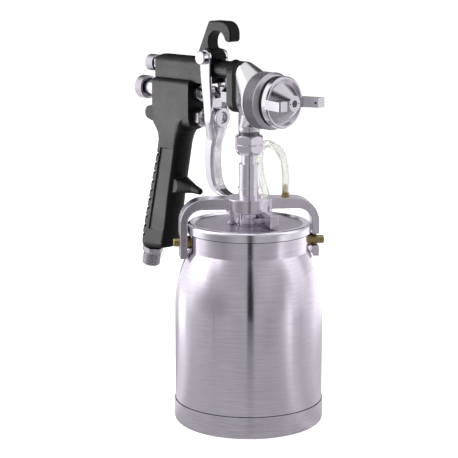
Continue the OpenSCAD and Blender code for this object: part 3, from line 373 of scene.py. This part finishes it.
def along(axis, origin):
    """A matrix that puts a lathe's height axis on axis, from origin."""
    return Matrix.Translation(origin) @ Vector(axis).to_track_quat("Z", "Y").to_matrix().to_4x4()


def triangle_wave(t):
    return abs((t % 1.0) - 0.5) * 2


# The spray axis, with heights counted from the back of the retaining ring
RING_LOW, RING_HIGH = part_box("retaining_ring")
RING_PLACE = along((1, 0, 0), Vector((RING_LOW[0], 0, (RING_LOW[2] + RING_HIGH[2]) / 2)))
RING_LENGTH = RING_HIGH[0] - RING_LOW[0]
CAP_RADIUS = spray_radius("cap_washer") + 0.3 * MM
LIP_RADIUS = CAP_RADIUS - 2 * MM


def knurled_ring():
    """The retaining ring with a fine diamond knurl cut into its barrel."""
    radius = spray_radius("retaining_ring")
    bore = CAP_RADIUS - 0.9 * MM
    chamfer = 0.6 * MM
    knurl_start, knurl_end = 1.0 * MM, 10.1 * MM
    nose_start, nose_end = 10.6 * MM, 11.1 * MM
    lip_back, lip_front = RING_LENGTH - 1.4 * MM, RING_LENGTH - 1.1 * MM
    teeth, per_tooth, depth = 92, 4, 0.34 * MM
    tooth_width = 2 * math.pi * radius / teeth
    rows = round((knurl_end - knurl_start) / tooth_width * per_tooth)

    back = [(radius - chamfer, 0), (radius, chamfer)]
    barrel = [(radius, knurl_start + (knurl_end - knurl_start) * k / rows) for k in range(rows + 1)]
    front = [(radius, nose_start), (radius - 0.5 * MM, nose_end),
             (CAP_RADIUS + 0.5 * MM, lip_back), (CAP_RADIUS - 0.2 * MM, lip_front)]
    inside = [(LIP_RADIUS, lip_front), (LIP_RADIUS, lip_back), (bore, lip_back), (bore, 0)]
    profile = back + barrel + front + inside

    def knurl(i, j):
        k = j - len(back)
        if not 0 < k < rows:
            return 0
        u, v = i / per_tooth, k / per_tooth
        return -depth * (1 - min(triangle_wave(u + v), triangle_wave(u - v)))

    piece = lathe("knurled_ring", profile, teeth * per_tooth, RING_PLACE, knurl)
    piece.data.materials.append(MATERIALS[SLOT_OF["retaining_ring"]])
    piece.data.materials.append(KNURLED)
    stand_for(piece, "retaining_ring")
    for index, polygon in enumerate(piece.data.polygons):
        on_knurl = 0 <= index % len(profile) - len(back) < rows
        polygon.use_smooth = not on_knurl
        polygon.material_index = int(on_knurl)


def cap_gap_painted_shade():
    """A dark ring of painted shade that fills the gap between the retaining ring and the air cap."""
    radius, reach = CAP_RADIUS - 0.35 * MM, 1.2 * MM
    start, end = RING_LENGTH - reach, RING_LENGTH + reach
    profile = [(LIP_RADIUS, start), (radius, start), (radius, end), (LIP_RADIUS, end)]
    gap_shade = lathe("cap_gap_painted_shade", profile, steps=96, place=RING_PLACE)
    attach(gap_shade, BODY_OF["cap_washer"])
    dress(gap_shade, DARK_SEAL_AND_SHADE)


def threaded_nipple():
    """The air inlet with its male thread cut as annular grooves."""
    mount = next(m for m in RECORD["mounts"] if m["name"] == "air_inlet")
    radius, reach = mount["dims"]["r_mm"] * MM, mount["dims"]["length_mm"] * MM
    grooves, pitch, depth, proud = 5, 1.41 * MM, 0.75 * MM, 0.4 * MM
    half_width = pitch * 0.46
    start = -reach / 2 + 0.2 * MM
    piece = add_object("threaded_nipple", NODES["inlet_nipple"].data.copy())
    place = along(mount["axis"], Vector(mount["pos_m"]))
    for turn in range(grooves):
        z = start + pitch * (turn + 0.4)
        profile = [(radius - depth, z), (radius + proud, z - half_width), (radius + proud, z + half_width)]
        cutter = lathe("cutter", profile, steps=64, place=place)
        cut = piece.modifiers.new("cut", "BOOLEAN")
        cut.operation = "DIFFERENCE"
        cut.object = cutter
        apply_modifiers(piece)
        bpy.data.objects.remove(cutter)
    stand_for(piece, "inlet_nipple")
    set_smooth(piece, False)


def upright_band(name, node, radius, low, high, thickness, ribs=0):
    """A thin dark band round the upright axis, riding on the node's body, with grooves between its ribs."""
    groove = 0.8 * thickness
    edges = 2 * ribs
    profile = [(radius - thickness, low), (radius, low)]
    profile += [(radius - (k % 2) * groove, low + (high - low) * k / edges) for k in range(1, edges)]
    profile += [(radius, high), (radius - thickness, high)]
    band = lathe(name, profile, steps=128)
    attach(band, BODY_OF[node])
    dress(band, DARK_SEAL_AND_SHADE)
    set_smooth(band, False)


knurled_ring()
cap_gap_painted_shade()
threaded_nipple()

NUT_TOP = top("union_nut")
upright_band("outlet_thread", "head", radius=7.2 * MM, low=NUT_TOP + 0.05 * MM, high=NUT_TOP + 2.95 * MM,
             thickness=0.5 * MM, ribs=4)
DISH_RADIUS, DISH_TOP = upright_radius("cup_base"), top("cup_base")
# A thin dark band of painted shade along the joint where the cup's wall meets its base.
upright_band("base_painted_shade", "cup_base", radius=DISH_RADIUS - 0.35 * MM, low=DISH_TOP - 0.2 * MM,
             high=DISH_TOP + 0.25 * MM, thickness=0.6 * MM)
LID_RADIUS, LID_FOOT = upright_radius("lid"), foot("lid")
# A thin dark band of painted shade under the lid's skirt, where it meets the cup's neck.
upright_band("lid_painted_shade", "lid", radius=LID_RADIUS - 0.06 * MM, low=LID_FOOT - 0.4 * MM,
             high=LID_FOOT + 0.15 * MM, thickness=1.0 * MM)


# ---------- Studio: camera, world and floor ----------
CAMERA_AZIMUTH = math.radians(-45)
CAMERA_DISTANCE = 1.0757
CAMERA_HEIGHT = 0.3498
CAMERA_PITCH = math.radians(11.32)
CAMERA_YAW = math.radians(0.728)
SENSOR_WIDTH = 36
LENS_IN_WIDTHS = 1600 / 458
FLOOR_HALF = 6
FLOOR_GLOW = 0.62
WORLD_LIGHT, WORLD_SEEN = 0.45, 1.0


def polar(radius, azimuth_from_camera, z):
    """A point at an azimuth counted from the camera's side, positive to the right of the picture."""
    a = CAMERA_AZIMUTH + math.radians(azimuth_from_camera)
    return Vector((radius * math.cos(a), radius * math.sin(a), z))


def make_camera():
    data = bpy.data.cameras.new("camera")
    data.sensor_width = SENSOR_WIDTH
    data.lens = SENSOR_WIDTH * LENS_IN_WIDTHS
    data.clip_start = 0.01
    camera = add_object("camera", data)
    heading = CAMERA_AZIMUTH + math.pi + CAMERA_YAW
    camera.location = polar(CAMERA_DISTANCE, 0, CAMERA_HEIGHT)
    camera.rotation_euler = (math.pi / 2 - CAMERA_PITCH, 0, heading - math.pi / 2)
    bpy.context.scene.camera = camera


def light_mix(tree, plain, seen):
    """Value plain for lighting, value seen for camera, glossy and transmitted rays."""
    path = tree.nodes.new("ShaderNodeLightPath")
    is_seen = path.outputs["Is Camera Ray"]
    for ray in ("Is Glossy Ray", "Is Transmission Ray"):
        either = tree.nodes.new("ShaderNodeMath")
        either.operation = "MAXIMUM"
        tree.links.new(is_seen, either.inputs[0])
        tree.links.new(path.outputs[ray], either.inputs[1])
        is_seen = either.outputs[0]
    level = tree.nodes.new("ShaderNodeMapRange")
    level.inputs["To Min"].default_value = plain
    level.inputs["To Max"].default_value = seen
    tree.links.new(is_seen, level.inputs["Value"])
    return level.outputs["Result"]


def make_world():
    world = bpy.data.worlds.new("studio")
    world.use_nodes = True
    background = world.node_tree.nodes["Background"]
    background.inputs["Color"].default_value = (1, 1, 1, 1)
    strength = light_mix(world.node_tree, WORLD_LIGHT, WORLD_SEEN)
    world.node_tree.links.new(strength, background.inputs["Strength"])
    bpy.context.scene.world = world


def make_floor():
    """Pale floor: its own colour under the lamps, plus enough glow to the camera to read as white."""
    corners = [(x * FLOOR_HALF, y * FLOOR_HALF, 0) for x, y in ((-1, -1), (1, -1), (1, 1), (-1, 1))]
    floor = mesh_object("floor", corners, [(0, 1, 2, 3)])
    s = Shader("floor")
    s.set(Base_Color=(0.9, 0.9, 0.9, 1), Roughness=0.9, Specular_IOR_Level=0.0, Emission_Color=(1, 1, 1, 1))
    s.feed(light_mix(s.tree, 0.0, FLOOR_GLOW), "Emission Strength")
    dress(floor, s.mat)


# ---------- Studio: the tent that the metal reflects ----------
TENT_RADIUS = 0.30
TENT_HEIGHT = 0.62
TENT_STEPS = 96
TABLE_HOLE = 0.04
OFF_FLOOR = 0.5 * MM
TENT_TINT = (0.985, 0.955, 1.0, 1)

# The tent's panels, as (degrees from the camera's side, level), from the lowest band to the highest
SLIT = [(-2.2, 0.42), (-1.8, 0.0), (6.8, 0.0), (7.2, 0.42)]
LOW = [(-180, 0.75), (-150, 0.8), (-134, 0.7), (-126, 2.0), (-112, 2.0), (-104, 0.8), (-90, 0.6),
       (-78, 0.56), (-52, 0.4), (-50.5, 0.2), (-49, 0.4), (-28, 0.42), (-12, 0.32), *SLIT, (12, 0.42),
       (28, 0.32), (43, 0.46), (52, 0.8), (61, 1.3), (68, 0.62), (81, 0.5), (100, 0.8), (116, 1.3),
       (140, 1.3), (180, 0.8)]
MID = [(-180, 1.0), (-140, 1.1), (-93, 1.1), (-86, 0.8), (-78, 0.5), (-68, 0.34), (-43, 0.26),
       (-20, 0.44), (-6, 0.44), *SLIT, (16, 0.44), (30, 0.42), (50, 0.4), (58, 0.9), (66, 0.9), (81, 0.7),
       (100, 0.8), (119, 1.2), (147, 1.3), (180, 1.0)]
HIGH = [(-180, 0.5), (-140, 0.7), (-118, 1.2), (-110, 1.6), (-78, 1.6), (-70, 1.0), (-60, 0.5),
        (-45, 0.48), *SLIT, (30, 0.55), (55, 0.4), (66, 0.6), (74, 1.0), (98, 1.0), (108, 0.6),
        (150, 0.8), (180, 0.5)]
TOP = [(-180, 0.06), (-140, 0.1), (-120, 1.5), (-60, 1.5), (-50, 0.6), (-30, 0.4), *SLIT, (30, 0.45),
       (50, 0.6), (66, 0.8), (74, 1.3), (98, 1.3), (120, 0.8), (140, 0.1), (180, 0.06)]
TABLE = [(-180, 0.5), (-140, 0.46), (-125, 0.75), (-105, 0.75), (-90, 0.46), (50, 0.4), (60, 0.6),
         (80, 0.46), (110, 0.6), (180, 0.5)]
BAND_JOINS = ((0.045, 0.06), (0.11, 0.17), (0.24, 0.30))
BRIGHTEST = 2


def reflections_only(obj):
    """Stage dressing that neither the camera nor the diffuse light sees."""
    obj.visible_camera = False
    obj.visible_diffuse = False
    obj.visible_transmission = False
    obj.visible_shadow = False


def ramp(s, position, stops):
    """Grey levels over -180..180 degrees from the camera's side; a ramp holds values up to 1."""
    node = s.add("ShaderNodeValToRGB")
    s.link(position, node.inputs["Fac"])
    points = node.color_ramp.elements
    for i, (degrees, level) in enumerate(stops):
        where = (degrees + 180) / 360
        point = points[i] if i < 2 else points.new(where)
        point.position = where
        point.color = (level, level, level, 1)
    return node.outputs["Color"]


def around(name, bands, joins=()):
    """A glow that changes with the azimuth; each band fades into the next over its join's heights."""
    s = Shader(name)
    place = s.add("ShaderNodeNewGeometry")
    split = s.add("ShaderNodeSeparateXYZ")
    turn = s.add("ShaderNodeVectorRotate", rotation_type="Z_AXIS")
    turn.inputs["Angle"].default_value = -CAMERA_AZIMUTH
    s.link(place.outputs["Position"], turn.inputs["Vector"])
    s.link(turn.outputs["Vector"], split.inputs["Vector"])
    angle = s.add("ShaderNodeMath", operation="ARCTAN2")
    s.link(split.outputs["Y"], angle.inputs[0])
    s.link(split.outputs["X"], angle.inputs[1])
    position = s.spread(angle.outputs[0], 0, 1, -math.pi, math.pi)
    colors = [ramp(s, position, [(d, v / BRIGHTEST) for d, v in stops]) for stops in bands]
    color = colors[0]
    for band, (start, end) in zip(colors[1:], joins):
        color = s.mix(s.spread(split.outputs["Z"], 0, 1, start, end), color, band)
    emission = s.add("ShaderNodeEmission")
    emission.inputs["Strength"].default_value = BRIGHTEST
    s.link(s.mix(1.0, color, TENT_TINT, "MULTIPLY"), emission.inputs["Color"])
    s.link(emission.outputs["Emission"], s.tree.nodes["Material Output"].inputs["Surface"])
    return s.mat


def circle(radius, z):
    return [polar(radius, 360 * i / TENT_STEPS, z) for i in range(TENT_STEPS)]


def make_tent():
    """A round tent of panels, and a grey table top that keeps the cup's wall grey to its foot."""
    n = TENT_STEPS
    quads = [(i, (i + 1) % n, n + (i + 1) % n, n + i) for i in range(n)]
    tent = mesh_object("tent", circle(TENT_RADIUS, OFF_FLOOR) + circle(TENT_RADIUS, TENT_HEIGHT), quads)
    dress(tent, around("tent", (LOW, MID, HIGH, TOP), BAND_JOINS))
    reflections_only(tent)
    table = mesh_object("table", circle(TABLE_HOLE, OFF_FLOOR) + circle(TENT_RADIUS, OFF_FLOOR), quads)
    dress(table, around("table", (TABLE,)))
    reflections_only(table)


# ---------- Studio: lamps ----------
LAMP_TARGET = Vector((0, 0, 0.14))


def area_lamp(name, shape, size, power, place, target):
    data = bpy.data.lights.new(name, "AREA")
    data.shape = shape
    data.size = size
    data.energy = power
    lamp = add_object(name, data)
    lamp.location = place
    lamp.rotation_euler = (target - place).to_track_quat("-Z", "Y").to_euler()
    return lamp


def soft_lamp(name, size, power, place):
    """A broad lamp for the whole object; the metal reflects the tent instead of it."""
    lamp = area_lamp(name, "DISK", size, power, place, LAMP_TARGET)
    lamp.visible_glossy = False


def coat_lamp():
    """A tall lamp on the left that only the black casting reflects: it turns the flat sides grey."""
    width, height, power = 0.14, 0.22, 1.15
    place, target = Vector((-0.19, -0.13, 0.17)), Vector((-0.05, 0, 0.18))
    lamp = area_lamp("coat_lamp", "RECTANGLE", width, power, place, target)
    lamp.data.size_y = height
    lamp.visible_camera = False
    lamp.visible_diffuse = False
    lamp.visible_transmission = False
    receivers = bpy.data.collections.new("coat_lamp_receivers")
    receivers.objects.link(BODY_CASTING)
    lamp.light_linking.receiver_collection = receivers


make_camera()
make_world()
make_floor()
make_tent()
coat_lamp()
soft_lamp("left_lamp", size=0.8, power=9, place=polar(1.0, -80, 0.7))
soft_lamp("right_lamp", size=0.8, power=6, place=polar(1.1, 70, 0.8))
soft_lamp("top_lamp", size=1.0, power=8, place=Vector((0, 0, 1.5)))

scene = bpy.context.scene
scene.view_settings.view_transform = "Standard"
